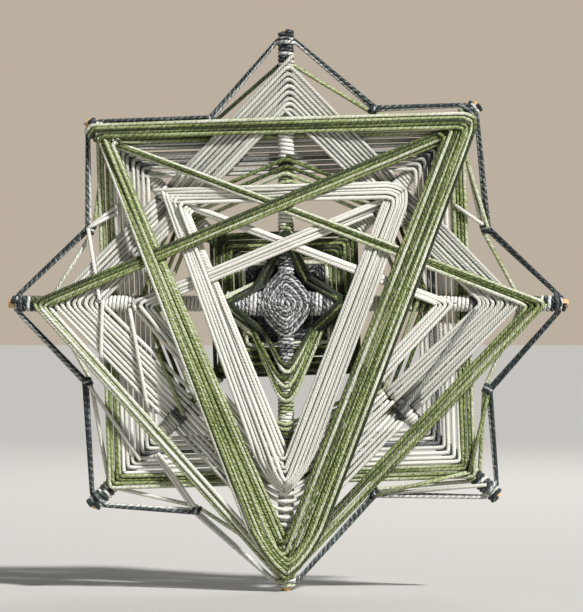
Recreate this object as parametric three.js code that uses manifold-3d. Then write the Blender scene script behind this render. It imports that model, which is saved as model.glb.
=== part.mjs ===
// Eight-armed ojo de dios: two crosses of craft dowels, one in front of the other, bound by yarn.
// Millimetres, +Z up, seen along +Y. The origin lies on the wall, straight behind the crossing.
import * as THREE from "three";
import { mergeVertices } from "three/addons/utils/BufferGeometryUtils.js";
import Module from "manifold-3d";

const wasm = await Module();
wasm.setup();

// Dowels
const DOWEL_LENGTH = 305;
const DOWEL_RADIUS = 2.4;
const DOWEL_SIDES = 12;
const END_CHAMFER = 0.4;
const LAP_GAP = 0.3;

// Angle of each dowel in degrees, and how far its middle sits past the crossing along that angle
const VERTICAL_ANGLE = 90;
const VERTICAL_SHIFT = -4;
const HORIZONTAL_ANGLE = 0;
const HORIZONTAL_SHIFT = 1.3;
const RISING_ANGLE = 46.2;
const RISING_SHIFT = -1.2;
const FALLING_ANGLE = 137.6;
const FALLING_SHIFT = -4.6;

// Yarn
const YARN_RADIUS = 0.75;
const YARN_SIDES = 4;
const SEAT_GAP = 0.3;
const LOOP_GAP = 0.5;
const WALL_GAP = 0.3;
const CORNER_RADIUS = 2;
const WRAP_STEPS = 6;

// Inner windings: distance from the crossing, or space left after the winding before
const FRONT_EYE_START = 3.6;
const FRONT_EYE_DOME = 4;
const EYE_WRAP_SPACE = 8;
const FRONT_GREEN_DROP = 11;
const BACK_EYE_START = 17;
const BACK_GREEN_SPACE = 9;
const OCTAGON_START = 66;
const OCTAGON_FRONT_EXTRA = 5;
const INNER_TRIANGLE_BACK = 70;
const INNER_TRIANGLE_SIDE = 75;
const INNER_TRIANGLE_BOTTOM = 82;

// Outer windings: distance back from the dowel tips
const WEB_FROM_TIP = 44.5;
const WEB_BACK_FROM_TIP = 68;
const WEB_SPACING = 2.8;
const BACK_WHITE_FROM_TIP = 41;
const BACK_RIM_SPACE = 2;
const OUTER_TRIANGLE_FROM_TIP = 28;
const TOP_TRIANGLE_EXTRA = 6;
const WAIST_RING_FROM_TIP = 17;
const OUTLINE_FROM_TIP = 5.2;
const WAIST_FROM_TIP = 31;

// Loops of each winding
const FRONT_EYE_LOOPS = 6;
const FRONT_GREEN_LOOPS = 4;
const BACK_EYE_LOOPS = 4;
const BACK_GREEN_LOOPS = 4;
const BACK_WHITE_LOOPS = 5;
const BACK_RIM_LOOPS = 3;
const OCTAGON_LOOPS = 2;
const WEB_LOOPS = 6;
const TRIANGLE_LOOPS = 3;
const OUTLINE_LOOPS = 1;

// Close wraps round the arms and ties round the waists
const EYE_WRAP_TURNS = 3;
const ARM_WRAP_TURNS = 3;
const FRONT_WRAP_TO_WEB = 14;
const TIP_WRAP_TURNS = 2;
const TIP_WRAP_END = 8;
const TIE_TURNS = 2;
const TIE_SLACK = 1;

// How finely strands are laid: sampling step, bends left out, turns that get more corner points
const SAMPLE_STEP = 1;
const HULL_TOLERANCE = 0.2;
const SLIGHT_TURN = Math.PI / 6;
const SHARP_TURN = (2 * Math.PI) / 3;
const CORNER_SHARE = 0.4;
const OWN_SKIP = 6 * CORNER_RADIUS;

// Depths, counted out from the wall
const STRAND_PITCH = 2 * YARN_RADIUS + LOOP_GAP;
const STEP_SLACK = Math.cos(Math.PI / WRAP_STEPS);
const FRONT_SEAT = DOWEL_RADIUS + SEAT_GAP + YARN_RADIUS;
const WRAP_RADIUS = FRONT_SEAT / STEP_SLACK;
const WRAP_OUTER = WRAP_RADIUS + YARN_RADIUS;
const BEHIND_SEAT = WRAP_OUTER + SEAT_GAP + YARN_RADIUS;
const BACK_OUT = WALL_GAP + YARN_RADIUS + BEHIND_SEAT;
const FRONT_OUT = BACK_OUT + FRONT_SEAT + YARN_RADIUS + SEAT_GAP + WRAP_OUTER;
const WAIST_OUT = (BACK_OUT + FRONT_OUT) / 2 + FRONT_SEAT;
const TIE_HALF_DEPTH = (2 * YARN_RADIUS + SEAT_GAP) / STEP_SLACK;
const TIE_HALF_WIDTH = TIE_HALF_DEPTH + STRAND_PITCH / 2 + TIE_SLACK;

const WOOD = { color: 0xc8a064, roughness: 0.6, metalness: 0 };
const WHITE = { color: 0xe6e2d0, roughness: 0.95, metalness: 0 };
const GREEN = { color: 0x8c9a5c, roughness: 0.95, metalness: 0 };
const GREY = { color: 0x868786, roughness: 0.95, metalness: 0 };
const DARK = { color: 0x46504f, roughness: 0.95, metalness: 0 };

const DOWELS = {
  vertical_dowel: { angle: VERTICAL_ANGLE, shift: VERTICAL_SHIFT, out: FRONT_OUT },
  horizontal_dowel: { angle: HORIZONTAL_ANGLE, shift: HORIZONTAL_SHIFT, out: FRONT_OUT },
  rising_dowel: { angle: RISING_ANGLE, shift: RISING_SHIFT, out: BACK_OUT },
  falling_dowel: { angle: FALLING_ANGLE, shift: FALLING_SHIFT, out: BACK_OUT },
};

const ARMS = {
  right: { dowel: DOWELS.horizontal_dowel, way: 1 },
  upper_right: { dowel: DOWELS.rising_dowel, way: 1 },
  top: { dowel: DOWELS.vertical_dowel, way: 1 },
  upper_left: { dowel: DOWELS.falling_dowel, way: 1 },
  left: { dowel: DOWELS.horizontal_dowel, way: -1 },
  lower_left: { dowel: DOWELS.rising_dowel, way: -1 },
  bottom: { dowel: DOWELS.vertical_dowel, way: -1 },
  lower_right: { dowel: DOWELS.falling_dowel, way: -1 },
};
const ARM_NAMES = Object.keys(ARMS);
const FRONT_ARMS = ["top", "right", "bottom", "left"];
const BACK_ARMS = ["upper_left", "upper_right", "lower_right", "lower_left"];

const ojo = new THREE.Group();
ojo.name = "ojo_de_dios";

// Plan points are (x, z); a strand's third measure is how far it stands out from the wall
function dowelDirection(dowel) {
  const angle = THREE.MathUtils.degToRad(dowel.angle);
  return new THREE.Vector2(Math.cos(angle), Math.sin(angle));
}

function armPoint(name, distance) {
  const { dowel, way } = ARMS[name];
  return dowelDirection(dowel).multiplyScalar(way * distance);
}

function fromTip(name, distance) {
  const { dowel, way } = ARMS[name];
  return DOWEL_LENGTH / 2 + way * dowel.shift - distance;
}

function fromShortest(arms, distance) {
  return Math.min(...arms.map((arm) => fromTip(arm, distance)));
}

function place(plan, out) {
  return new THREE.Vector3(plan.x, -out, plan.y);
}

function addPiece(name, geometry, finish) {
  const mesh = new THREE.Mesh(geometry, new THREE.MeshStandardMaterial(finish));
  mesh.name = name;
  ojo.add(mesh);
}

// Solids for the half-lap cuts
function toSolid(geometry) {
  const bare = geometry.clone();
  bare.deleteAttribute("normal");
  bare.deleteAttribute("uv");
  const merged = mergeVertices(bare);
  const vertProperties = new Float32Array(merged.attributes.position.array);
  const triVerts = new Uint32Array(merged.index.array);
  return new wasm.Manifold(new wasm.Mesh({ numProp: 3, vertProperties, triVerts }));
}

function toGeometry(solid) {
  const mesh = solid.getMesh();
  const geometry = new THREE.BufferGeometry();
  geometry.setAttribute("position", new THREE.BufferAttribute(mesh.vertProperties, 3));
  geometry.setIndex(new THREE.BufferAttribute(mesh.triVerts, 1));
  geometry.computeVertexNormals();
  return geometry;
}

// Turns what stands along Z into the slant of a dowel
function slant(geometry, dowel) {
  return geometry.rotateY(THREE.MathUtils.degToRad(90 - dowel.angle));
}

// A dowel with eased ends; the lap takes away half its thickness where its partner crosses
function makeDowel(name, partner, lapInFront) {
  const dowel = DOWELS[name];
  const half = DOWEL_LENGTH / 2;
  const profile = [
    new THREE.Vector2(0, -half),
    new THREE.Vector2(DOWEL_RADIUS - END_CHAMFER, -half),
    new THREE.Vector2(DOWEL_RADIUS, -half + END_CHAMFER),
    new THREE.Vector2(DOWEL_RADIUS, half - END_CHAMFER),
    new THREE.Vector2(DOWEL_RADIUS - END_CHAMFER, half),
    new THREE.Vector2(0, half),
  ];
  const stick = slant(new THREE.LatheGeometry(profile, DOWEL_SIDES).rotateX(Math.PI / 2), dowel);
  const middle = place(dowelDirection(dowel).multiplyScalar(dowel.shift), dowel.out);
  stick.translate(...middle.toArray());
  const width = 2 * (DOWEL_RADIUS + LAP_GAP);
  const lap = slant(new THREE.BoxGeometry(width, width, 2 * width), partner);
  const toSide = (width - LAP_GAP) / 2;
  lap.translate(0, -(dowel.out + (lapInFront ? toSide : -toSide)), 0);
  addPiece(name, toGeometry(toSolid(stick).subtract(toSolid(lap))), WOOD);
}

// What has been laid so far, as straight pieces that later strands rest on
const laid = [];

function layPiece(from, to, radius, strand, travelled = 0) {
  laid.push({ from, to, radius, strand, travelled });
}

function layDowel(dowel) {
  const end = (distance) => ({ plan: dowelDirection(dowel).multiplyScalar(distance), out: dowel.out });
  layPiece(end(dowel.shift - DOWEL_LENGTH / 2), end(dowel.shift + DOWEL_LENGTH / 2), DOWEL_RADIUS, dowel);
}

// Least distance from the wall at which a strand's middle clears all that lies under a plan point
function outNeeded(point, strand, travelled, passedBehind = []) {
  let needed = -Infinity;
  for (const { from, to, radius, strand: other, travelled: laidAt } of laid) {
    const own = other === strand && travelled - laidAt < OWN_SKIP;
    if (own || passedBehind.includes(other)) continue;
    const reach = radius + YARN_RADIUS + SEAT_GAP;
    const dx = to.plan.x - from.plan.x;
    const dz = to.plan.y - from.plan.y;
    const px = point.x - from.plan.x;
    const pz = point.y - from.plan.y;
    const along = THREE.MathUtils.clamp((px * dx + pz * dz) / (dx * dx + dz * dz), 0, 1);
    const beside = Math.hypot(px - along * dx, pz - along * dz);
    if (beside >= reach) continue;
    const under = THREE.MathUtils.lerp(from.out, to.out, along);
    needed = Math.max(needed, under + Math.sqrt(reach * reach - beside * beside));
  }
  return needed;
}

function samplesBetween(a, b) {
  const count = Math.max(1, Math.ceil(a.distanceTo(b) / SAMPLE_STEP));
  return Array.from({ length: count + 1 }, (_, i) => a.clone().lerp(b, i / count));
}

// How far a support stands above the straight line between two others
function heightAbove(p, q, support) {
  return support.out - p.out - ((q.out - p.out) * (support.s - p.s)) / (q.s - p.s);
}

// Taut string over supports: the upper hull of (distance, out) pairs, with the least bends left out
function tautOver(supports) {
  const hull = [];
  for (const next of supports) {
    while (hull.length > 1 && heightAbove(hull.at(-2), next, hull.at(-1)) <= 0) hull.pop();
    hull.push(next);
  }
  const kept = [hull[0]];
  let from = 0;
  for (let to = 2; to <= hull.length; to += 1) {
    const passed = to < hull.length ? hull.slice(from + 1, to) : [];
    const bends = passed.some((support) => heightAbove(hull[from], hull[to], support) > HULL_TOLERANCE);
    if (bends || to === hull.length) {
      from = to - 1;
      kept.push(hull[from]);
    }
  }
  return kept;
}

// Rounds the plan corner between two legs
function roundCorner(before, corner, after) {
  const arrive = corner.clone().sub(before);
  const leave = after.clone().sub(corner);
  const shortest = Math.min(arrive.length(), leave.length());
  arrive.normalize();
  leave.normalize();
  const turn = Math.acos(THREE.MathUtils.clamp(arrive.dot(leave), -1, 1));
  if (turn < SLIGHT_TURN) return [corner];
  const back = Math.min(CORNER_RADIUS * Math.tan(turn / 2), CORNER_SHARE * shortest);
  const radius = back / Math.tan(turn / 2);
  const start = corner.clone().addScaledVector(arrive, -back);
  const end = corner.clone().addScaledVector(leave, back);
  if (turn < SHARP_TURN) return [start, end];
  const inward = leave.clone().sub(arrive).normalize();
  const apex = corner.clone().addScaledVector(inward, radius / Math.cos(turn / 2) - radius);
  return [start, apex, end];
}

// The points of a rounded corner and the middles between them
function alongArc(arc) {
  const middles = arc.slice(1).map((plan, i) => plan.clone().lerp(arc[i], 0.5));
  return [...arc, ...middles];
}

// A stop gives a plan point for the distance gained so far, and how far out it is where that is fixed
function armStop(arm, start) {
  return { point: (gain) => armPoint(arm, start + gain) };
}

function behindStop(arm, start) {
  const { dowel } = ARMS[arm];
  return { ...armStop(arm, start), out: dowel.out - BEHIND_SEAT, behind: dowel };
}

function waistStop(index, radius) {
  return { point: () => waistPoint(index, radius), out: WAIST_OUT };
}

function ringStops(arms, start) {
  return arms.map((arm) => armStop(arm, start));
}

// Distance gained per loop at a stop, so that neighbouring strands keep their spacing on both legs
function loopAdvance(stops, index, spacing) {
  const here = stops[index].point(0);
  const arm = here.clone().normalize();
  const neighbours = [stops.at(index - 1), stops[(index + 1) % stops.length]];
  const slants = neighbours.map((stop) => Math.abs(arm.cross(stop.point(0).sub(here).normalize())));
  return spacing / Math.min(...slants);
}

// Lays one unbroken strand: loops round the stops, outwards, taut over all that was laid before.
// Gives back how far from the crossing it ends.
function wind(name, stops, loops, finish, { spacing = STRAND_PITCH, rise = () => 0 } = {}) {
  const advance = stops.map((_, i) => loopAdvance(stops, i, spacing));
  const cornerAt = (k) => {
    const index = (k + stops.length) % stops.length;
    return { ...stops[index], plan: stops[index].point((advance[index] * k) / stops.length) };
  };
  const path = [];
  const extend = (plan, out) => {
    const last = path.at(-1);
    const s = last ? last.s + last.plan.distanceTo(plan) : 0;
    path.push({ plan, out, s });
    if (last) layPiece(last, path.at(-1), YARN_RADIUS, name, s);
  };
  for (let k = 0; k <= loops * stops.length; k += 1) {
    const corner = cornerAt(k);
    const arc = roundCorner(cornerAt(k - 1).plan, corner.plan, cornerAt(k + 1).plan);
    const last = path.at(-1);
    const reached = last ? last.s + last.plan.distanceTo(arc[0]) : 0;
    const rest = Math.max(...alongArc(arc).map((plan) => outNeeded(plan, name, reached)));
    const out = corner.out ?? rest + rise(corner.plan.length());
    if (last) {
      const passedBehind = [cornerAt(k - 1).behind, corner.behind];
      const supports = samplesBetween(last.plan, arc[0]).map((plan) => {
        const s = last.plan.distanceTo(plan);
        return { plan, s, out: outNeeded(plan, name, last.s + s, passedBehind) };
      });
      supports[0].out = last.out;
      supports.at(-1).out = out;
      const bends = tautOver(supports.filter((support) => support.out > -Infinity));
      bends.slice(1, -1).forEach((bend) => extend(bend.plan, bend.out));
    }
    arc.forEach((plan) => extend(plan, out));
  }
  finishStrand(name, path, finish);
  return cornerAt(loops * stops.length).plan.length();
}

// A close helix of yarn round one arm. Gives back how far from the crossing it ends.
function wrapArm(name, arm, start, turns, finish) {
  const { dowel } = ARMS[arm];
  const along = armPoint(arm, 1);
  const across = new THREE.Vector2(-along.y, along.x);
  const path = Array.from({ length: turns * WRAP_STEPS + 1 }, (_, k) => {
    const angle = (2 * Math.PI * k) / WRAP_STEPS;
    const plan = armPoint(arm, start + (STRAND_PITCH * k) / WRAP_STEPS);
    plan.addScaledVector(across, WRAP_RADIUS * Math.sin(angle));
    return { plan, out: dowel.out + WRAP_RADIUS * Math.cos(angle) };
  });
  path.slice(1).forEach((point, i) => layPiece(path[i], point, YARN_RADIUS, dowel));
  finishStrand(name, path, finish);
  return start + turns * STRAND_PITCH;
}

// Dark turns near the tips of some arms, outside the windings that end at a given distance
function wrapTips(arms, inside) {
  arms.forEach((arm) => {
    const end = fromTip(arm, TIP_WRAP_END);
    const room = Math.floor((end - inside) / STRAND_PITCH);
    const turns = THREE.MathUtils.clamp(room, 1, TIP_WRAP_TURNS);
    wrapArm(`tip_wrap_${arm}`, arm, end - turns * STRAND_PITCH, turns, DARK);
  });
}

// Tube with mitred rings along a line of points, closed by a flat cap at each end
function tube(points) {
  const legs = points.slice(1).map((point, i) => point.clone().sub(points[i]).normalize());
  const helper = new THREE.Vector3(legs[0].y, legs[0].z, -legs[0].x);
  const side = new THREE.Vector3().crossVectors(helper, legs[0]).setLength(YARN_RADIUS);
  let section = Array.from({ length: YARN_SIDES }, (_, i) => {
    return side.clone().applyAxisAngle(legs[0], (2 * Math.PI * i) / YARN_SIDES);
  });
  const positions = [];
  const index = [];
  points.forEach((point, k) => {
    const arrive = legs[Math.max(0, k - 1)];
    const leave = legs[Math.min(k, legs.length - 1)];
    const mitre = arrive.clone().add(leave);
    const ring = section.map((offset) => {
      return offset.clone().addScaledVector(arrive, -offset.dot(mitre) / arrive.dot(mitre));
    });
    ring.forEach((offset) => positions.push(...point.clone().add(offset).toArray()));
    section = ring.map((offset) => offset.addScaledVector(leave, -offset.dot(leave)));
    for (let i = 0; k > 0 && i < YARN_SIDES; i += 1) {
      const a = (k - 1) * YARN_SIDES + i;
      const b = (k - 1) * YARN_SIDES + ((i + 1) % YARN_SIDES);
      index.push(a, b, b + YARN_SIDES, a, b + YARN_SIDES, a + YARN_SIDES);
    }
  });
  const end = positions.length / 3 - YARN_SIDES;
  for (let i = 1; i < YARN_SIDES - 1; i += 1) {
    index.push(0, i + 1, i, end, end + i, end + i + 1);
  }
  const geometry = new THREE.BufferGeometry();
  geometry.setAttribute("position", new THREE.Float32BufferAttribute(positions, 3));
  geometry.setIndex(index);
  geometry.computeVertexNormals();
  return geometry;
}

// Least clear space between a strand and its own other turns, measured on points along it
function leastSelfGap(points) {
  const dense = [];
  let travelled = 0;
  points.slice(1).forEach((point, i) => {
    const length = points[i].distanceTo(point);
    const count = Math.ceil(length / SAMPLE_STEP);
    for (let k = 0; k < count; k += 1) {
      dense.push({ at: points[i].clone().lerp(point, k / count), s: travelled + (length * k) / count });
    }
    travelled += length;
  });
  let least = Infinity;
  dense.forEach((a, i) => {
    for (let k = i + 1; k < dense.length; k += 1) {
      if (dense[k].s - a.s >= OWN_SKIP) least = Math.min(least, a.at.distanceToSquared(dense[k].at));
    }
  });
  return Math.sqrt(least) - 2 * YARN_RADIUS;
}

function finishStrand(name, path, finish) {
  const points = path.map(({ plan, out }) => place(plan, out));
  console.log(`${name}: least gap to itself ${leastSelfGap(points).toFixed(2)} mm`);
  addPiece(name, tube(points), finish);
}

// The front eye stands up towards its middle
function eyeRise(radius) {
  const share = Math.max(0, 1 - radius / FRONT_EYE_END);
  return FRONT_EYE_DOME * share * share;
}

// Three triangles share the bottom arm, each laid over the one before, the last one wider
function threeTriangles(colour, startAt, finish) {
  const triangle = (name, arms, extra) => {
    const stops = arms.map((arm) => armStop(arm, startAt(arm) + extra));
    wind(`${colour}_triangle_${name}`, stops, TRIANGLE_LOOPS, finish);
  };
  triangle("right", ["upper_left", "right", "bottom"], 0);
  triangle("left", ["upper_right", "left", "bottom"], 0);
  triangle("top", ["upper_left", "upper_right", "bottom"], TOP_TRIANGLE_EXTRA);
}

function innerTriangleStart(arm) {
  if (arm === "bottom") return INNER_TRIANGLE_BOTTOM;
  return FRONT_ARMS.includes(arm) ? INNER_TRIANGLE_SIDE : INNER_TRIANGLE_BACK;
}

// Plan point half way between two neighbouring arms
function waistPoint(index, radius) {
  const next = ARM_NAMES[(index + 1) % ARM_NAMES.length];
  return armPoint(ARM_NAMES[index], 1).add(armPoint(next, 1)).setLength(radius);
}

// A line of yarn from arm to arm, drawn in at the waist between each two
function waistedStops(tipDistance, waistRadius) {
  return ARM_NAMES.flatMap((arm, i) => {
    return [armStop(arm, fromTip(arm, tipDistance)), waistStop(i, waistRadius)];
  });
}

// Turns of yarn round the outline and the ring where they meet at a waist
function waistTie(name, index) {
  const middle = waistPoint(index, WAIST_RADIUS - STRAND_PITCH / 2);
  const outward = middle.clone().normalize();
  const along = new THREE.Vector2(-outward.y, outward.x);
  const path = Array.from({ length: TIE_TURNS * WRAP_STEPS + 1 }, (_, k) => {
    const angle = (2 * Math.PI * k) / WRAP_STEPS;
    const plan = middle.clone().addScaledVector(outward, TIE_HALF_WIDTH * Math.cos(angle));
    plan.addScaledVector(along, STRAND_PITCH * (k / WRAP_STEPS - TIE_TURNS / 2));
    return { plan, out: WAIST_OUT + TIE_HALF_DEPTH * Math.sin(angle) };
  });
  finishStrand(name, path, DARK);
}

const FRONT_EYE_END = FRONT_EYE_START + FRONT_EYE_LOOPS * STRAND_PITCH * Math.SQRT2;
const WEB_FRONT_START = fromShortest(FRONT_ARMS, WEB_FROM_TIP);
const WEB_BACK_START = fromShortest(BACK_ARMS, WEB_BACK_FROM_TIP);
const WAIST_RADIUS = fromShortest(ARM_NAMES, WAIST_FROM_TIP);

// Wood
makeDowel("vertical_dowel", DOWELS.horizontal_dowel, false);
makeDowel("horizontal_dowel", DOWELS.vertical_dowel, true);
makeDowel("rising_dowel", DOWELS.falling_dowel, false);
makeDowel("falling_dowel", DOWELS.rising_dowel, true);

// Back cross, from its middle out
layDowel(DOWELS.rising_dowel);
layDowel(DOWELS.falling_dowel);
const backEyeEnd = wind("back_eye", ringStops(BACK_ARMS, BACK_EYE_START), BACK_EYE_LOOPS, GREY);
const backGreenStart = backEyeEnd + BACK_GREEN_SPACE;
wind("back_green_square", ringStops(BACK_ARMS, backGreenStart), BACK_GREEN_LOOPS, GREEN);
BACK_ARMS.forEach((arm) => wrapArm(`arm_wrap_${arm}`, arm, WEB_BACK_START, ARM_WRAP_TURNS, WHITE));
const backWhiteStart = fromShortest(BACK_ARMS, BACK_WHITE_FROM_TIP);
const backWhiteEnd = wind("back_white_square", ringStops(BACK_ARMS, backWhiteStart), BACK_WHITE_LOOPS, WHITE);
const backRimStart = backWhiteEnd + BACK_RIM_SPACE;
const backRimEnd = wind("back_green_rim", ringStops(BACK_ARMS, backRimStart), BACK_RIM_LOOPS, GREEN);
wrapTips(BACK_ARMS, backRimEnd + STRAND_PITCH);

// Front cross, from its middle out
layDowel(DOWELS.vertical_dowel);
layDowel(DOWELS.horizontal_dowel);
wind("front_eye", ringStops(FRONT_ARMS, FRONT_EYE_START), FRONT_EYE_LOOPS, GREY, { rise: eyeRise });
FRONT_ARMS.forEach((arm) => wrapArm(`eye_wrap_${arm}`, arm, FRONT_EYE_END, EYE_WRAP_TURNS, GREY));
const frontGreenStart = FRONT_EYE_END + EYE_WRAP_TURNS * STRAND_PITCH + EYE_WRAP_SPACE;
const frontGreenDrop = (arm) => (arm === "bottom" ? FRONT_GREEN_DROP : 0);
const frontGreenStops = FRONT_ARMS.map((arm) => armStop(arm, frontGreenStart + frontGreenDrop(arm)));
wind("front_green_diamond", frontGreenStops, FRONT_GREEN_LOOPS, GREEN);
const frontWrapStart = WEB_FRONT_START - FRONT_WRAP_TO_WEB;
FRONT_ARMS.forEach((arm) => wrapArm(`arm_wrap_${arm}`, arm, frontWrapStart, ARM_WRAP_TURNS, WHITE));
wrapTips(FRONT_ARMS, WEB_FRONT_START);

// Windings that bind the two crosses together
const octagonStops = ARM_NAMES.map((arm) => {
  return armStop(arm, OCTAGON_START + (FRONT_ARMS.includes(arm) ? OCTAGON_FRONT_EXTRA : 0));
});
wind("octagon", octagonStops, OCTAGON_LOOPS, GREEN);
const webStops = ARM_NAMES.map((arm) => {
  return FRONT_ARMS.includes(arm) ? armStop(arm, WEB_FRONT_START) : behindStop(arm, WEB_BACK_START);
});
wind("white_web", webStops, WEB_LOOPS, WHITE, { spacing: WEB_SPACING });
threeTriangles("white", innerTriangleStart, WHITE);
wind("waist_ring", waistedStops(WAIST_RING_FROM_TIP, WAIST_RADIUS - STRAND_PITCH), OUTLINE_LOOPS, WHITE);
threeTriangles("green", (arm) => fromTip(arm, OUTER_TRIANGLE_FROM_TIP), GREEN);
wind("outline", waistedStops(OUTLINE_FROM_TIP, WAIST_RADIUS), OUTLINE_LOOPS, DARK);
ARM_NAMES.forEach((arm, i) => waistTie(`waist_tie_${arm}`, i));

export default ojo;
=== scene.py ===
"""Looks of an eight-armed ojo de dios: two crosses of dowels bound by plied yarn.

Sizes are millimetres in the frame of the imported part: x to the right, z up, and "out" counted from the
wall towards the viewer, so that y is minus out. A plan point is (x, z), and a distance on an arm is
counted from the crossing of the dowels.
"""

import logging
import math
from dataclasses import dataclass, field
from enum import Enum

import bpy
import numpy as np
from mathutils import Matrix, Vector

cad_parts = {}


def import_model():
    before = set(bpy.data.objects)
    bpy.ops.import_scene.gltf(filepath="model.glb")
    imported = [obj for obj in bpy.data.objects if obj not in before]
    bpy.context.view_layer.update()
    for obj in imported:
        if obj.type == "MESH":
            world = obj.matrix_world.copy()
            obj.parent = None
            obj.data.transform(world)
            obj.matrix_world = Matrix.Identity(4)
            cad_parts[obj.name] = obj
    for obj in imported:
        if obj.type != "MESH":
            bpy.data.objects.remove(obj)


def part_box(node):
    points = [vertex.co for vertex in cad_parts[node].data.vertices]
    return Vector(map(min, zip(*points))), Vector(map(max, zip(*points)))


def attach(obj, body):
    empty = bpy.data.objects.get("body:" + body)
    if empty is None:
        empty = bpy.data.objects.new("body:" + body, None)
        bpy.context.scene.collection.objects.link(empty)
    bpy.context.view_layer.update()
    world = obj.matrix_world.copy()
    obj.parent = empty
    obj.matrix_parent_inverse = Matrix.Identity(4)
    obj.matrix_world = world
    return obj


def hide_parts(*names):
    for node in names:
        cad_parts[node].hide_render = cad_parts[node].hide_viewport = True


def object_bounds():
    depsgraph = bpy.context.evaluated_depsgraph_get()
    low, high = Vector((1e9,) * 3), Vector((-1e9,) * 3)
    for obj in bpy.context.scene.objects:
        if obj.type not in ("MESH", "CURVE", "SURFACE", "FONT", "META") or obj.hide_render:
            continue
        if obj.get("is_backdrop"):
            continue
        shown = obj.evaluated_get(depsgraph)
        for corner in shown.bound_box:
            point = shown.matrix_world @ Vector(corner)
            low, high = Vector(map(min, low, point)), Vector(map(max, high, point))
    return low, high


LOG = logging.getLogger("ojo_de_dios")
MM = 0.001
TINY = 1e-9
SHORTEST = 1e-6
SEED = 11

# Yarn: half its thickness, sides of a strand, how closely strands press together, how far every other
# loop lies above its neighbours, and how unevenly a hand lays them
YARN_RADIUS = 1.1
STRAND_SIDES = 10
PRESS = 0.76
NESTLE = 0.6
LOOSENESS = 0.42

# Laying: grid of what lies underneath, longest piece laid on it, and steps along a run, a bend and a turn
GRID_CELL = 0.4
GRID_HALF = 170.0
CHOP = 8.0
LAY_STEP = 0.8
BEND_STEPS = 7
TURN_STEPS = 12

# Where yarn crosses an arm: tip kept bare, how far it may slip along the arm, least slant and room that are
# reckoned with, run that may be lifted as it leaves, and how deep it goes behind
TIP_BARE = 2.0
OVERRUN = 4.0
LEAST_SLANT = 0.05
LEAST_ROOM = 0.5
LEAVE_RUN = 14.0
BEHIND_LAYERS = 3
BEHIND_DEPTH = 1.6

# Runs that cross at less than this slant meet half-way; dowels further out than this are the front cross
LEAST_CROSSING = 0.35
FRONT_FROM_OUT = 10.0

# Corners of a strand: radius, turn in degrees too slight to round, widest turn in radians, share of a run
# that a curve may take, and steps of the curve by how many degrees it turns
BEND_RADIUS = 2.2
SLIGHT_TURN = 4.0
WIDEST_TURN = 2.6
CUT_SHARE = 0.45
CURVE_STEPS = ((25.0, 2), (60.0, 3), (math.inf, 5))

# Sweeping: a direction that no strand starts in, how wide the crease beside a neighbour is, how dark the
# painted shade in that crease is, and the length of the ball that each strand is cut from
SWEEP_SIDE = (0.3, 1.0, 0.2)
CREASE_WIDTH = 0.6
CREASE_SHADE = 0.4
YARN_BALL = 5000.0

Span = tuple[float, float]
Tones = tuple[float, ...]
Triple = tuple[float, float, float]


class Arm(Enum):
    """One arm of the star, named by where it points."""

    RIGHT = "right"
    UPPER_RIGHT = "upper_right"
    TOP = "top"
    UPPER_LEFT = "upper_left"
    LEFT = "left"
    LOWER_LEFT = "lower_left"
    BOTTOM = "bottom"
    LOWER_RIGHT = "lower_right"


R, UR, T, UL, L, LL, B, LR = Arm
FRONT_ARMS = (T, R, B, L)
BACK_ARMS = (UL, UR, LR, LL)


class Yarn(Enum):
    """The record's material slots for yarn."""

    WHITE = "white_yarn"
    GREEN = "green_yarn"
    GREY = "grey_yarn"
    CHARCOAL = "charcoal_yarn"


WHITE, GREEN, GREY, CHARCOAL = Yarn

# Dowels: angle in degrees, and how far the middle sits past the crossing
DOWEL_PLACES = {
    "vertical_dowel": (90.0, -4.0),
    "horizontal_dowel": (0.0, 1.3),
    "rising_dowel": (46.2, -1.2),
    "falling_dowel": (137.6, -4.6),
}

# Tips: where the dark wraps start, how far short of the end they stop (past it where minus), and their tones
TIP_STARTS = {R: 141.0, UR: 140.0, T: 132.0, UL: 139.5, L: 138.0, LL: 140.0, B: 146.0, LR: 140.0}
BARE_ENDS = {R: 1.0, UR: -0.5, T: -0.8, UL: 0.8, L: 1.6, LL: -0.6, B: 2.3, LR: -0.6}
TIP_TONES = (0.9, 0.1, 0.8, 0.95, 0.1, 0.9)

# Waists: how far out the yarn between the arms lies, and plan places after each arm where it is tied in
WAIST_OUT = 13.0
WAISTS = {
    R: (110.0, 41.1),
    UR: (48.5, 106.5),
    T: (-41.4, 101.0),
    UL: (-107.8, 41.1),
    L: (-109.5, -42.8),
    LL: (-49.6, -113.5),
    B: (48.5, -104.3),
    LR: (111.1, -47.1),
}


@dataclass(frozen=True)
class Dowel:
    """A dowel of the frame, lying in one plane in front of the wall."""

    node: str
    angle: float
    shift: float
    out: float
    length: float
    radius: float

    @property
    def direction(self) -> np.ndarray:
        """Unit vector along the dowel in plan."""
        angle = math.radians(self.angle)
        return np.array((math.cos(angle), math.sin(angle)))


@dataclass(frozen=True)
class Reach:
    """Half a dowel, counted from the crossing out to its tip."""

    dowel: Dowel
    way: int

    @property
    def along(self) -> np.ndarray:
        """Unit vector from the crossing to the tip."""
        return self.way * self.dowel.direction

    @property
    def across(self) -> np.ndarray:
        """Unit vector square to the arm, turned to the left of it."""
        return np.array((-self.along[1], self.along[0]))

    @property
    def length(self) -> float:
        """Distance from the crossing to the tip."""
        return self.dowel.length / 2 + self.way * self.dowel.shift

    def at(self, distance: float, aside: float = 0.0) -> np.ndarray:
        """Plan point at a distance along the arm and aside of it."""
        return distance * self.along + aside * self.across


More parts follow.
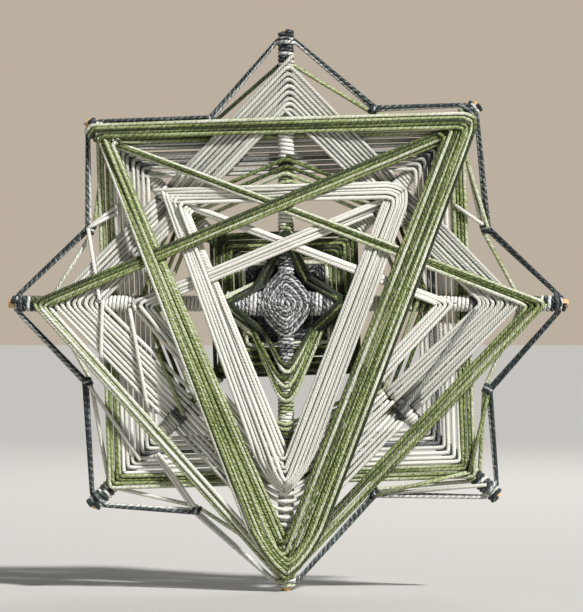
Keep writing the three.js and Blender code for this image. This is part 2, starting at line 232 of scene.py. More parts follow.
class Relief:
    """How far out the middle of the next strand has to pass, on a grid over the plan."""

    def __init__(self) -> None:
        """Starts with nothing laid."""
        self.count = int(2 * GRID_HALF / GRID_CELL) + 1
        self.out = np.full((self.count, self.count), -np.inf)

    def rest(self, plan: np.ndarray) -> np.ndarray:
        """Least out at each plan point.

        Args:
            plan: rows of (x, z).

        Returns:
            One value for each row, minus infinity where nothing lies under it.
        """
        cells = np.clip(np.rint((plan + GRID_HALF) / GRID_CELL).astype(int), 0, self.count - 1)
        return self.out[cells[:, 0], cells[:, 1]]

    def lay(self, path: np.ndarray, radius: float = YARN_RADIUS) -> None:
        """Adds a run of yarn or wood that later strands lie on.

        Args:
            path: rows of (x, z, out).
            radius: half the thickness of what is laid.
        """
        reach = (radius + YARN_RADIUS) * PRESS if radius == YARN_RADIUS else radius + YARN_RADIUS
        path, _ = densified(path, CHOP)
        for start, end in zip(path[:-1], path[1:]):
            low = np.floor((np.minimum(start, end)[:2] - reach + GRID_HALF) / GRID_CELL).astype(int)
            high = np.ceil((np.maximum(start, end)[:2] + reach + GRID_HALF) / GRID_CELL).astype(int)
            low = np.clip(low, 0, self.count - 1)
            high = np.clip(high, 0, self.count - 1)
            xs = np.arange(low[0], high[0] + 1) * GRID_CELL - GRID_HALF
            zs = np.arange(low[1], high[1] + 1) * GRID_CELL - GRID_HALF
            px, pz = np.meshgrid(xs - start[0], zs - start[1], indexing="ij")
            run = end[:2] - start[:2]
            share = np.clip((px * run[0] + pz * run[1]) / max(run @ run, TINY), 0, 1)
            beside = (px - share * run[0]) ** 2 + (pz - share * run[1]) ** 2
            under = start[2] + share * (end[2] - start[2])
            need = np.where(beside < reach**2, under + np.sqrt(np.maximum(reach**2 - beside, 0)), -np.inf)
            block = self.out[low[0] : high[0] + 1, low[1] : high[1] + 1]
            np.maximum(block, need, out=block)


def densified(bends: np.ndarray, step: float = LAY_STEP) -> tuple[np.ndarray, np.ndarray]:
    """Points at short steps along a line.

    Args:
        bends: rows whose first two values are x and z.
        step: longest step in plan.

    Returns:
        The rows with steps put in between, and whether each is one of the bends.
    """
    rows = [bends[:1]]
    marks = [np.array([True])]
    for start, end in zip(bends[:-1], bends[1:]):
        count = max(1, math.ceil(float(np.hypot(*(end - start)[:2])) / step))
        share = np.arange(1, count + 1)[:, None] / count
        rows.append(start + share * (end - start))
        marks.append(np.arange(1, count + 1) == count)
    return np.concatenate(rows), np.concatenate(marks)


def drape(plan: np.ndarray, pins: dict[int, float], rest: np.ndarray) -> tuple[np.ndarray, np.ndarray]:
    """Lays a line of yarn tight over all that is under it.

    Args:
        plan: rows of (x, z).
        pins: out of the points that are held, by their index; the first and last are among them.
        rest: least out at each point.

    Returns:
        The out of each point, and whether the yarn bends there.
    """
    run = np.concatenate([[0.0], np.cumsum(np.hypot(*np.diff(plan, axis=0).T))])
    out = rest.copy()
    for index, held in pins.items():
        out[index] = held
    laid = np.empty(len(plan))
    bends = np.zeros(len(plan), dtype=bool)
    marks = sorted(pins)
    for first, last in zip(marks[:-1], marks[1:]):
        hull: list[int] = []
        for i in first + np.flatnonzero(np.isfinite(out[first : last + 1])):
            while len(hull) > 1:
                a, b = hull[-2], hull[-1]
                if (out[b] - out[a]) * (run[i] - run[a]) > (out[i] - out[a]) * (run[b] - run[a]):
                    break
                hull.pop()
            hull.append(int(i))
        laid[first : last + 1] = np.interp(run[first : last + 1], run[hull], out[hull])
        bends[hull] = True
    return laid, bends


def rounded(points: np.ndarray) -> np.ndarray:
    """Replaces each corner of a line by a short curve.

    Args:
        points: rows of (x, z, out, tone).

    Returns:
        The smoothed line.
    """
    line = [points[0]]
    for before, here, after in zip(points[:-2], points[1:-1], points[2:]):
        arrive = here - before
        leave = after - here
        arrive_length = np.linalg.norm(arrive[:3])
        leave_length = np.linalg.norm(leave[:3])
        if min(arrive_length, leave_length) < SHORTEST:
            continue
        turn = math.acos(np.clip(arrive[:3] @ leave[:3] / (arrive_length * leave_length), -1, 1))
        if turn < math.radians(SLIGHT_TURN):
            line.append(here)
            continue
        wanted = BEND_RADIUS * math.tan(min(turn, WIDEST_TURN) / 2)
        cut = min(wanted, CUT_SHARE * arrive_length, CUT_SHARE * leave_length)
        first = here - arrive / arrive_length * cut
        last = here + leave / leave_length * cut
        steps = next(count for limit, count in CURVE_STEPS if turn < math.radians(limit))
        for t in np.linspace(0, 1, steps):
            line.append((1 - t) ** 2 * first + 2 * t * (1 - t) * here + t**2 * last)
    line.append(points[-1])
    return np.array(line)


@dataclass
class Strand:
    """One length of yarn, with a tone for each of its points."""

    points: list[np.ndarray] = field(default_factory=list)
    tones: list[float] = field(default_factory=list)

    def extend(self, points: list[np.ndarray], tone: float) -> None:
        """Adds points of one tone."""
        self.points.extend(points)
        self.tones.extend([tone] * len(points))

    @property
    def length(self) -> float:
        """Length of the yarn."""
        return float(np.linalg.norm(np.diff(np.array(self.points), axis=0), axis=1).sum())

    @property
    def front(self) -> float:
        """How far out its foremost point lies."""
        return float(np.array(self.points)[:, 2].max())


class Loom:
    """The dowels and all that has been laid on them so far."""

    def __init__(self, dowels: dict[str, Dowel]) -> None:
        """Sets up the arms; nothing lies in the way until a dowel is put in.

        Args:
            dowels: the four dowels by node name.
        """
        order = ("horizontal_dowel", "rising_dowel", "vertical_dowel", "falling_dowel")
        reaches = [Reach(dowels[node], way) for way in (1, -1) for node in order]
        self.arms = dict(zip(Arm, reaches))
        self.relief = Relief()
        self.open_relief = Relief()
        self.chance = np.random.default_rng(SEED)

    def put_dowel(self, dowel: Dowel) -> None:
        """Adds a dowel that later yarn has to pass over.

        Args:
            dowel: its place and size.
        """
        ends = [dowel.direction * (dowel.shift + side * dowel.length / 2) for side in (-1, 1)]
        path = np.array([(*end, dowel.out) for end in ends])
        self.relief.lay(path, dowel.radius)
        if dowel.out > FRONT_FROM_OUT:
            self.open_relief.lay(path, dowel.radius)

    def lay(self, path: np.ndarray, on_back_arm: bool = False) -> None:
        """Adds yarn that later yarn has to pass over.

        Args:
            path: rows of (x, z, out).
            on_back_arm: whether it is out of the way of what passes behind the back arms.
        """
        self.relief.lay(path)
        if not on_back_arm:
            self.open_relief.lay(path)

    def girth(self, layers: float) -> float:
        """Half the width of an arm with layers of yarn round it."""
        return self.arms[T].dowel.radius + (2 * layers - 1) * YARN_RADIUS

    def beside(self, name: Arm, place: np.ndarray, heading: np.ndarray, girth: float) -> list[np.ndarray]:
        """How yarn that crosses an arm comes over its side.

        Args:
            name: the arm.
            place: plan point where the yarn crosses the arm's middle.
            heading: unit vector along the yarn.
            girth: half the width of what it crosses.

        Returns:
            The plan point over the side, short of the bare tip; before it the crossing, where the yarn
            turns there because it runs nearly along the arm.
        """
        arm = self.arms[name]
        side = arm.across @ heading
        straight = girth * (arm.along @ heading) / max(abs(side), LEAST_SLANT)
        room = max(arm.length - TIP_BARE - arm.along @ place, LEAST_ROOM)
        run = float(np.clip(straight, -OVERRUN, min(OVERRUN, room)))
        over = place + arm.at(run, math.copysign(girth, side))
        return [over] if run == straight else [place, place + arm.at(0.0, math.copysign(girth, side))]

    def side_out(self, name: Arm, place: np.ndarray) -> float:
        """Out of yarn that lies on an arm's round.

        Args:
            name: the arm.
            place: plan point.

        Returns:
            How far out the middle of the yarn is.
        """
        dowel = self.arms[name].dowel
        aside = self.arms[name].across @ place
        return dowel.out + math.sqrt(max((dowel.radius + YARN_RADIUS) ** 2 - aside**2, 0.0))

    def behind(self, plan: np.ndarray) -> dict[int, float]:
        """Pins where a line passes behind back arms.

        Args:
            plan: rows of (x, z).

        Returns:
            Out by index of the points right behind an arm.
        """
        pins = {}
        for name in BACK_ARMS:
            arm = self.arms[name]
            aside = plan @ arm.across
            crosses = (aside[:-1] * aside[1:] <= 0) & (plan[:-1] @ arm.along > 0)
            for index in np.flatnonzero(crosses):
                pins[int(index)] = arm.dowel.out - arm.dowel.radius - BEHIND_LAYERS * YARN_RADIUS
        return pins


def at_share(span: Span, share: float) -> float:
    """Value at a share of the way through a span."""
    return span[0] + (span[1] - span[0]) * share


def tone_at(tones: Tones, step: int, steps: int) -> float:
    """Tone at a step, where the tones take equal shares of all the steps."""
    return tones[min(int(step * len(tones) / steps), len(tones) - 1)]


@dataclass(frozen=True)
class Stop:
    """Where a winding meets an arm, given for its first and last loop.

    Runs cross the middle of the arm at `come` as they arrive and at `go` as they leave. The yarn goes
    once round the arm, or bends in front of it where `bend` says how far from the corner the bend starts.
    """

    arm: Arm
    come: Span
    go: Span | None = None
    bend: Span | None = None
    pointed: bool = False


@dataclass(frozen=True)
class Leg:
    """One straight run of a winding from arm to arm."""

    leaves: Stop
    meets: Stop
    start: np.ndarray
    end: np.ndarray
    share: float
    tone: float

    @property
    def heading(self) -> np.ndarray:
        """Unit vector along the run."""
        return (self.end - self.start) / np.hypot(*(self.end - self.start))

    def corner(self, after: "Leg") -> np.ndarray:
        """Where this run and the next one would cross, or meet if they run nearly one way.

        Args:
            after: the next run.

        Returns:
            The plan point.
        """
        sides = np.column_stack([self.heading, -after.heading])
        if abs(np.linalg.det(sides)) < LEAST_CROSSING:
            return (self.end + after.start) / 2
        return self.start + self.heading * np.linalg.solve(sides, after.start - self.start)[0]


@dataclass(frozen=True)
class Winding:
    """Loops of yarn from arm to arm, laid from the middle outwards.

    Each leg has its own row of tones, one for each loop, taken again from the first where they run out.
    """

    node: str
    yarn: Yarn
    stops: tuple[Stop, ...]
    loops: int
    tones: tuple[Tones, ...] = ((0.1,),)
    behind_back_arms: bool = False
    girth: float = 1.0
    cover: Tones = ()
    leave_lift: float = 0.0
    looseness: float = LOOSENESS

    def legs(self, loom: Loom) -> list[Leg]:
        """All runs of the winding in turn.

        Args:
            loom: the arms.

        Returns:
            The runs, a little uneven as hand-wound yarn is.
        """
        legs = []
        for loop in range(self.loops):
            share = loop / max(1, self.loops - 1)
            for i, leaves in enumerate(self.stops):
                meets = self.stops[(i + 1) % len(self.stops)]
                uneven = loom.chance.normal(0, self.looseness, 2)
                start = loom.arms[leaves.arm].at(at_share(leaves.go or leaves.come, share) + uneven[0])
                end = loom.arms[meets.arm].at(at_share(meets.come, share) + uneven[1])
                tones = self.tones[i % len(self.tones)]
                legs.append(Leg(leaves, meets, start, end, share, tones[loop % len(tones)]))
        return legs

    def route(self, loom: Loom) -> list[Strand]:
        """Lays the winding on the loom.

        Args:
            loom: the arms and what lies on them.

        Returns:
            The strand, taut from arm to arm, and the turns round the arms that it bends over.
        """
        covers = self.covers(loom)
        runs: list[list[Leg]] = [[]]
        for leg in self.legs(loom):
            runs[-1].append(leg)
            if leg.meets.bend is None:
                runs.append([])
        runs = [run for run in runs if run]
        paths: dict[int, np.ndarray] = {}
        for stop in self.stops:
            band = [i for i, run in enumerate(runs) if run[0].leaves is stop]
            for i in band:
                paths[i] = self.laid(runs[i], loom, NESTLE * (i // len(self.stops) % 2))
            for i in band:
                loom.lay(paths[i][:, :3])
        strand = Strand()
        for i, run in enumerate(runs):
            if i > 0:
                arm = loom.arms[run[0].leaves.arm]
                strand.extend(turn_behind(arm, paths[i - 1][-1, :3], paths[i][0, :3]), run[0].tone)
            for row in paths[i]:
                strand.extend([row[:3]], float(row[3]))
        return [strand, *covers]

    def covers(self, loom: Loom) -> list[Strand]:
        """Turns round the arms under the bends that the yarn makes in front of them.

        Args:
            loom: the arms and what lies on them.

        Returns:
            One strand for each arm that the winding bends over.
        """
        covers = []
        for stop in self.stops:
            first = stop.come[0] - YARN_RADIUS
            last = min(stop.come[1] + YARN_RADIUS, TIP_STARTS[stop.arm])
            if stop.bend and last > first:
                covers.append(Sleeve(stop.arm, first, last, self.cover or self.tones[0]).route(loom))
        return covers

    def bent(self, leg: Leg, after: Leg) -> list[Triple]:
        """The bend between two runs.

        Args:
            leg: the run before it.
            after: the run after it.

        Returns:
            Points of (x, z, tone) along the bend.
        """
        corner = leg.corner(after)
        cut = at_share(leg.meets.bend, leg.share)
        begin, end = corner - cut * leg.heading, corner + cut * after.heading
        middle = (begin + 2 * corner + end) / 4
        points = []
        for t in np.linspace(0, 1, BEND_STEPS):
            place = (1 - t) ** 2 * begin + 2 * t * (1 - t) * corner + t**2 * end
            if leg.meets.pointed:
                side = begin if t < 0.5 else end
                place = (place + side + (middle - side) * (1 - abs(2 * t - 1))) / 2
            points.append((*place, leg.tone + (after.tone - leg.tone) * t))
        return points

    def laid(self, run: list[Leg], loom: Loom, lift: float) -> np.ndarray:
        """Lays one run over what is there.

        Args:
            run: its straight runs, with bends between them.
            loom: the arms and what lies on them.
            lift: how far out it lies above its neighbours.

        Returns:
            Rows of (x, z, out, tone).
        """
        girth = loom.girth(self.girth)
        first, last = run[0], run[-1]
        over = loom.beside(first.leaves.arm, first.start, -first.heading, girth)
        points = [(*place, first.tone) for place in reversed(over)]
        peaks = []
        for leg, after in zip(run[:-1], run[1:]):
            peaks.append(len(points) + BEND_STEPS // 2)
            points.extend(self.bent(leg, after))
        over = loom.beside(last.meets.arm, last.end, last.heading, girth)
        points.extend((*place, last.tone) for place in over)
        rows, corners = densified(np.array(points))
        plan = rows[:, :2]
        ends = ((0, first.leaves.arm), (len(plan) - 1, last.meets.arm))
        pins = {index: loom.side_out(arm, plan[index]) for index, arm in ends}
        rest = (loom.open_relief if self.behind_back_arms else loom.relief).rest(plan) + lift
        rest[: int(LEAVE_RUN / LAY_STEP)] += self.leave_lift
        if self.behind_back_arms:
            pins.update(loom.behind(plan))
        for peak in np.flatnonzero(corners)[peaks]:
            if np.isfinite(rest[peak]):
                pins[int(peak)] = float(rest[peak])
        out, bends = drape(plan, pins, rest)
        return np.column_stack([plan, out, rows[:, 2]])[corners | bends]


def turn_behind(arm: Reach, start: np.ndarray, end: np.ndarray) -> list[np.ndarray]:
    """Half a turn behind an arm, from one side of it to the other.

    Args:
        arm: the arm.
        start: where the yarn comes over the side (x, z, out).
        end: where it comes up again.

    Returns:
        Points between the two.
    """
    depth = arm.dowel.radius + BEHIND_DEPTH * YARN_RADIUS
    points = []
    for step in range(1, TURN_STEPS // 2):
        share = step / (TURN_STEPS // 2)
        place = start + (end - start) * (1 - math.cos(math.pi * share)) / 2
        drop = place[2] - (arm.dowel.out - depth)
        points.append(place - np.array((0.0, 0.0, drop * math.sin(math.pi * share))))
    return points


@dataclass(frozen=True)
class EyeDome:
    """Rounded diamonds wound close together over the crossing, rising to the middle."""

    rings: int = 8
    reach: float = 18.8
    start: float = 1.2
    rise: float = 4.6
    dip: float = 1.8
    roundness: float = 1.3
    width: float = 0.8
    steps: int = 32
    tones: Tones = (0.22, 0.5, 0.2, 0.55)
    tones_a_ring: int = 3

    def route(self, loom: Loom) -> Strand:
        """Lays the spiral on the loom.

        Args:
            loom: the arms and what lies on them.

        Returns:
            The strand.
        """
        dowel = loom.arms[T].dowel
        strand = Strand()
        for step in range(self.rings * self.steps + 1):
            turn = step / self.steps
            angle = math.pi / 2 - 2 * math.pi * turn
            reach = self.start + (self.reach - self.start) * turn / self.rings
            across, up = math.cos(angle), math.sin(angle)
            power = self.roundness
            radius = reach / (abs(across) ** power + abs(up) ** power) ** (1 / power)
            share = reach / self.reach
            ridge = math.cos(2 * angle) ** 2
            out = dowel.out + dowel.radius + YARN_RADIUS
            out += self.rise * (1 - share**2) - self.dip * share * (1 - ridge)
            tone = self.tones[int(turn * self.tones_a_ring) % len(self.tones)]
            strand.extend([np.array((self.width * radius * across, radius * up, out))], tone)
        loom.lay(np.array(strand.points))
        return strand


@dataclass(frozen=True)
class Sleeve:
    """Close turns of yarn round one arm."""

    arm: Arm
    first: float
    last: float
    tones: Tones = (0.1,)
    pitch: float = 2.1
    layer: int = 0

    def route(self, loom: Loom) -> Strand:
        """Lays the turns on the loom.

        Args:
            loom: the arms and what lies on them.

        Returns:
            The strand.
        """
        arm = loom.arms[self.arm]
        radius = arm.dowel.radius + YARN_RADIUS * (1 + 2 * self.layer)
        steps = TURN_STEPS * max(1, round((self.last - self.first) / self.pitch))
        strand = Strand()
        for step in range(steps + 1):
            angle = 2 * math.pi * step / TURN_STEPS
            plan = arm.at(self.first + (self.last - self.first) * step / steps, radius * math.sin(angle))
            place = np.array((*plan, arm.dowel.out + radius * math.cos(angle)))
            strand.extend([place], tone_at(self.tones, step, steps))
        loom.lay(np.array(strand.points), on_back_arm=self.arm in BACK_ARMS)
        return strand


@dataclass(frozen=True)
class Waisted:
    """A line of yarn from arm to arm, drawn in at the waist between each two.

    It has two tones between each two arms: from the arm to the waist, and from there to the next arm.
    """

    from_tip: float
    inset: float
    lean: float
    layers: float
    tones: Tones
    held: dict[Arm, float] = field(default_factory=dict)
    waist_out: float = WAIST_OUT

    def route(self, loom: Loom) -> Strand:
        """Lays the line once round.

        Args:
            loom: the arms and what lies on them.

        Returns:
            The strand.
        """
        girth = loom.girth(self.layers)
        strand = Strand()
        for i, name in enumerate([*Arm, R]):
            arm = loom.arms[name]
            before, leave, after = (self.tones[(2 * i + k) % len(self.tones)] for k in (-1, 0, 1))
            for aside, rise, tone in ((-girth, 0.0, before), (0.0, girth, before), (girth, 0.0, leave)):
                distance = arm.length - self.held.get(name, self.from_tip) - (self.lean if aside else 0.0)
                strand.extend([np.array((*arm.at(distance, aside), arm.dowel.out + rise))], tone)
            if i < len(Arm):
                waist = np.array(WAISTS[name])
                waist *= 1 - self.inset / np.hypot(*waist)
                onward = np.array((-waist[1], waist[0])) / np.hypot(*waist)
                strand.extend([np.array((*(waist - onward / 2), self.waist_out))], leave)
                strand.extend([np.array((*(waist + onward / 2), self.waist_out))], after)
        loom.lay(np.array(strand.points))
        return strand


@dataclass(frozen=True)
class Tie:
    """Turns of yarn round the lines that meet at a waist."""

    waist: Arm
    out: float = WAIST_OUT
    turns: int = 3
    inset: float = 1.2
    width: float = 1.9
    length: float = 3.8
    tones: Tones = (0.9, 0.3, 0.95)

    def route(self) -> Strand:
        """Makes the turns.

        Returns:
            The strand.
        """
        middle = np.array(WAISTS[self.waist])
        inward = -middle / np.hypot(*middle)
        along = np.array((-inward[1], inward[0]))
        steps = self.turns * TURN_STEPS
        strand = Strand()
        for step in range(steps + 1):
            angle = 2 * math.pi * step / TURN_STEPS
            plan = middle + inward * (self.inset + self.width * math.cos(angle))
            plan = plan + along * self.length * (step / steps - 0.5)
            place = np.array((*plan, self.out + self.width * math.sin(angle)))
            strand.extend([place], tone_at(self.tones, step, steps))
        return strand


@dataclass(frozen=True)
class Loose:
    """A single length of yarn from one plan place to another, over all that is there."""

    start: Span
    end: Span
    tone: float = 0.1

    def route(self, loom: Loom) -> Strand:
        """Lays the length on the loom.

        Args:
            loom: the arms and what lies on them.

        Returns:
            The strand.
        """
        rows, corners = densified(np.array((self.start, self.end)))
        rest = loom.relief.rest(rows)
        ends = (0, len(rows) - 1)
        pins = {index: float(rest[index]) if np.isfinite(rest[index]) else WAIST_OUT for index in ends}
        out, bends = drape(rows, pins, rest)
        path = np.column_stack([rows, out])[corners | bends]
        loom.lay(path)
        return Strand(list(path), [self.tone] * len(path))


def feed(tree: bpy.types.NodeTree, socket: bpy.types.NodeSocket, value: object) -> None:
    """Links a socket to another one, or gives it a plain value.

    Args:
        tree: the node tree.
        socket: the input.
        value: an output of another node, or the value.
    """
    if isinstance(value, bpy.types.NodeSocket):
        tree.links.new(value, socket)
    else:
        socket.default_value = value


def add_node(tree: bpy.types.NodeTree, kind: str, values: dict[str, object]) -> bpy.types.Node:
    """Adds a node.

    Args:
        tree: the node tree.
        kind: type of the node.
        values: values or links of its inputs, by their names.

    Returns:
        The node.
    """
    node = tree.nodes.new(kind)
    for name, value in values.items():
        feed(tree, node.inputs[name], value)
    return node


def add_ramp(tree: bpy.types.NodeTree, share: object, colours: tuple) -> bpy.types.NodeSocket:
    """Adds a colour ramp.

    Args:
        tree: the node tree.
        share: socket that picks the colour.
        colours: pairs of position and colour.

    Returns:
        The colour.
    """
    node = add_node(tree, "ShaderNodeValToRGB", {"Fac": share})
    points = node.color_ramp.elements
    while len(points) < len(colours):
        points.new(0.5)
    for point, (position, colour) in zip(points, colours):
        point.position = position
        point.color = (*colour, 1.0)
    return node.outputs["Color"]


def new_material(name: str, values: dict[str, object]) -> tuple[bpy.types.Material, bpy.types.Node]:
    """Makes a material.

    Args:
        name: its name.
        values: constants of its shader, by the names of the inputs.

    Returns:
        The material and its shader.
    """
    material = bpy.data.materials.new(name)
    material.use_nodes = True
    shader = material.node_tree.nodes["Principled BSDF"]
    for socket, value in values.items():
        shader.inputs[socket].default_value = value
    return material, shader


@dataclass(frozen=True)
class Plies:
    """Node group of plied yarn, from the strand's own length and turn coordinates."""

    count: int = 4
    pitch: float = 7.2
    fleck_around: float = 2.0
    fleck_gain: float = 2.6
    fibre_along: float = 2.0
    fibre_around: float = 4.0
    fibre_height: float = 1.1
    detail: float = 2.0
    drift_along: float = 0.025
    drift_place: Span = (3.1, 7.7)
    drift_detail: float = 1.0
    drift_gain: float = 2.4
    lobe_height: float = 0.35
    # Painted shade: how much the tone darkens in the grooves between the plies
    painted_groove_shade: float = 0.06
    # Painted shade where strands meet: reach and samples of the ambient occlusion that darkens the tone
    painted_shade_reach: float = 0.9
    painted_shade_samples: int = 4

    @staticmethod
    def math(tree: bpy.types.NodeTree, operation: str, *values: object) -> bpy.types.NodeSocket:
        """Adds a Math node.

        Args:
            tree: the group.
            operation: its operation.
            values: numbers or sockets for its inputs.

        Returns:
            Its result.
        """
        node = tree.nodes.new("ShaderNodeMath")
        node.operation = operation
        for socket, value in zip(node.inputs, values):
            feed(tree, socket, value)
        return node.outputs[0]

    def noise(self, tree: bpy.types.NodeTree, place: tuple, detail: float) -> bpy.types.NodeSocket:
        """Adds a noise texture.

        Args:
            tree: the group.
            place: numbers or sockets for its three coordinates.
            detail: its detail.

        Returns:
            The noise, from about -0.5 to 0.5.
        """
        join = add_node(tree, "ShaderNodeCombineXYZ", dict(zip("XYZ", place)))
        values = {"Vector": join.outputs[0], "Scale": 1.0, "Detail": detail}
        node = add_node(tree, "ShaderNodeTexNoise", values)
        return self.math(tree, "SUBTRACT", node.outputs["Fac"], 0.5)

    def group(self) -> bpy.types.NodeTree:
        """Makes the group: relief of the plies, flecks, slow drift of tone, and painted shade in the grooves
        between the plies and where strands meet.

        Returns:
            The group.
        """
        tree = bpy.data.node_groups.new("plied_yarn", "ShaderNodeTree")
        for name in ("Tone", "Marl", "Fleck", "Drift", "PaintedCreviceShade"):
            tree.interface.new_socket(name, in_out="INPUT", socket_type="NodeSocketFloat")
        for name in ("Tone", "Height"):
            tree.interface.new_socket(name, in_out="OUTPUT", socket_type="NodeSocketFloat")

        def times(a: object, b: object) -> bpy.types.NodeSocket:
            """Product of two values."""
            return self.math(tree, "MULTIPLY", a, b)

        def plus(a: object, b: object) -> bpy.types.NodeSocket:
            """Sum of two values."""
            return self.math(tree, "ADD", a, b)

        given = tree.nodes.new("NodeGroupInput").outputs
        strand = tree.nodes.new("ShaderNodeUVMap")
        strand.uv_map = "strand"
        split = add_node(tree, "ShaderNodeSeparateXYZ", {"Vector": strand.outputs["UV"]})
        length, turn = split.outputs["X"], split.outputs["Y"]
        twist = plus(turn, self.math(tree, "DIVIDE", length, self.pitch))
        angle = times(twist, 2 * math.pi)
        ply = [self.math(tree, side, angle) for side in ("COSINE", "SINE")]
        lobes = self.math(tree, "COSINE", times(angle, float(self.count)))
        light = self.math(tree, "COSINE", times(angle, self.count / 2))
        flecks = self.noise(tree, (length, *(times(p, self.fleck_around) for p in ply)), self.detail)
        drift = self.noise(tree, (times(length, self.drift_along), *self.drift_place), self.drift_detail)
        around = (times(p, self.fibre_around) for p in ply)
        fibres = self.noise(tree, (times(length, self.fibre_along), *around), self.detail)
        # Painted shade: the tone darkens where ambient occlusion finds other strands close by
        reach = {"Distance": self.painted_shade_reach * MM}
        painted_crevice_shade = add_node(tree, "ShaderNodeAmbientOcclusion", reach)
        painted_crevice_shade.samples = self.painted_shade_samples
        occlusion_shade = self.math(tree, "SUBTRACT", 1.0, painted_crevice_shade.outputs["AO"])
        tone = given["Tone"]
        for part, name, gain in (
            (light, "Marl", 1.0),
            (flecks, "Fleck", self.fleck_gain),
            (drift, "Drift", self.drift_gain),
        ):
            tone = plus(tone, times(part, times(given[name], gain)))
        # Painted shade: the tone darkens in the grooves between the plies
        tone = plus(tone, times(self.math(tree, "SUBTRACT", 1.0, lobes), self.painted_groove_shade))
        tone = plus(tone, times(occlusion_shade, given["PaintedCreviceShade"]))
        height = plus(times(lobes, self.lobe_height), times(fibres, self.fibre_height))
        add_node(tree, "NodeGroupOutput", {"Tone": tone, "Height": height})
        return tree


@dataclass(frozen=True)
class YarnFinish:
    """Colours of a yarn from one end of its tones to the other, and how mottled it is."""

    slot: Yarn
    ramp: tuple[tuple[float, Triple], ...]
    marl: float
    fleck: float
    drift: float
    # Painted shade: how far the tone darkens where strands meet
    painted_crevice_shade: float = 0.9
    roughness: float = 0.92
    fuzz: float = 0.25
    fuzz_roughness: float = 0.5
    shine: float = 0.15
    bump: float = 0.9
    bump_depth: float = 0.35

    def material(self, plies: bpy.types.NodeTree) -> bpy.types.Material:
        """Makes the yarn's material.

        Args:
            plies: node group that gives the tone along the plies and their relief.

        Returns:
            The material.
        """
        values = {
            "Roughness": self.roughness,
            "Sheen Weight": self.fuzz,
            "Sheen Roughness": self.fuzz_roughness,
            "Specular IOR Level": self.shine,
        }
        material, shader = new_material(self.slot.value, values)
        tree = material.node_tree
        tone = tree.nodes.new("ShaderNodeAttribute")
        tone.attribute_name = "tone"
        group = tree.nodes.new("ShaderNodeGroup")
        group.node_tree = plies
        mottle_and_shade = {"Marl": self.marl, "Fleck": self.fleck, "Drift": self.drift, "PaintedCreviceShade": self.painted_crevice_shade}
        for name, value in {"Tone": tone.outputs["Fac"], **mottle_and_shade}.items():
            feed(tree, group.inputs[name], value)
        relief = {"Strength": self.bump, "Distance": self.bump_depth * MM, "Height": group.outputs["Height"]}
        bump = add_node(tree, "ShaderNodeBump", relief)
        feed(tree, shader.inputs["Base Color"], add_ramp(tree, group.outputs["Tone"], self.ramp))
        feed(tree, shader.inputs["Normal"], bump.outputs["Normal"])
        return material


FINISHES = {
    WHITE: YarnFinish(
        WHITE,
        (
            (0.0, (0.9, 0.88, 0.8)),
            (0.4, (0.62, 0.61, 0.53)),
            (0.75, (0.17, 0.18, 0.17)),
            (1.0, (0.03, 0.033, 0.033)),
        ),
        marl=0.03,
        fleck=0.2,
        drift=0.1,
        painted_crevice_shade=0.7,
    ),
    GREEN: YarnFinish(
        GREEN,
        (
            (0.0, (0.82, 0.80, 0.75)),
            (0.28, (0.53, 0.55, 0.4)),
            (0.5, (0.31, 0.365, 0.12)),
            (0.75, (0.085, 0.12, 0.022)),
            (1.0, (0.02, 0.026, 0.013)),
        ),
        marl=0.06,
        fleck=0.6,
        drift=0.3,
    ),
    GREY: YarnFinish(
        GREY,
        (
            (0.0, (0.8, 0.8, 0.76)),
            (0.4, (0.28, 0.285, 0.28)),
            (0.72, (0.035, 0.037, 0.04)),
            (1.0, (0.012, 0.012, 0.014)),
        ),
        marl=0.16,
        fleck=1.15,
        drift=0.3,
    ),
    CHARCOAL: YarnFinish(
        CHARCOAL,
        (
            (0.0, (0.78, 0.78, 0.72)),
            (0.4, (0.3, 0.33, 0.31)),
            (0.7, (0.04, 0.055, 0.055)),
            (1.0, (0.01, 0.016, 0.018)),
        ),
        marl=0.16,
        fleck=0.8,
        drift=0.35,
    ),
}


@dataclass(frozen=True)
class WoodFinish:
    """Bare turned wood with grain along the dowel."""

    slot: str = "dowel_wood"
    ramp: tuple[tuple[float, Triple], ...] = ((0.35, (0.42, 0.23, 0.08)), (0.62, (0.72, 0.46, 0.19)))
    roughness: float = 0.55
    grain: Triple = (900.0, 900.0, 40.0)
    detail: float = 4.0
    bump: float = 0.3
    bump_depth: float = 0.1

    def material(self) -> bpy.types.Material:
        """Makes the wood's material.

        Returns:
            The material.
        """
        material, shader = new_material(self.slot, {"Roughness": self.roughness})
        tree = material.node_tree
        grain = tree.nodes.new("ShaderNodeAttribute")
        grain.attribute_name = "grain"
        stretch = {"Vector": grain.outputs["Vector"], "Scale": self.grain}
        place = add_node(tree, "ShaderNodeMapping", stretch).outputs["Vector"]
        noise = add_node(tree, "ShaderNodeTexNoise", {"Vector": place, "Scale": 1.0, "Detail": self.detail})
        relief = {"Strength": self.bump, "Distance": self.bump_depth * MM, "Height": noise.outputs["Fac"]}
        bump = add_node(tree, "ShaderNodeBump", relief)
        feed(tree, shader.inputs["Base Color"], add_ramp(tree, noise.outputs["Fac"], self.ramp))
        feed(tree, shader.inputs["Normal"], bump.outputs["Normal"])
        return material


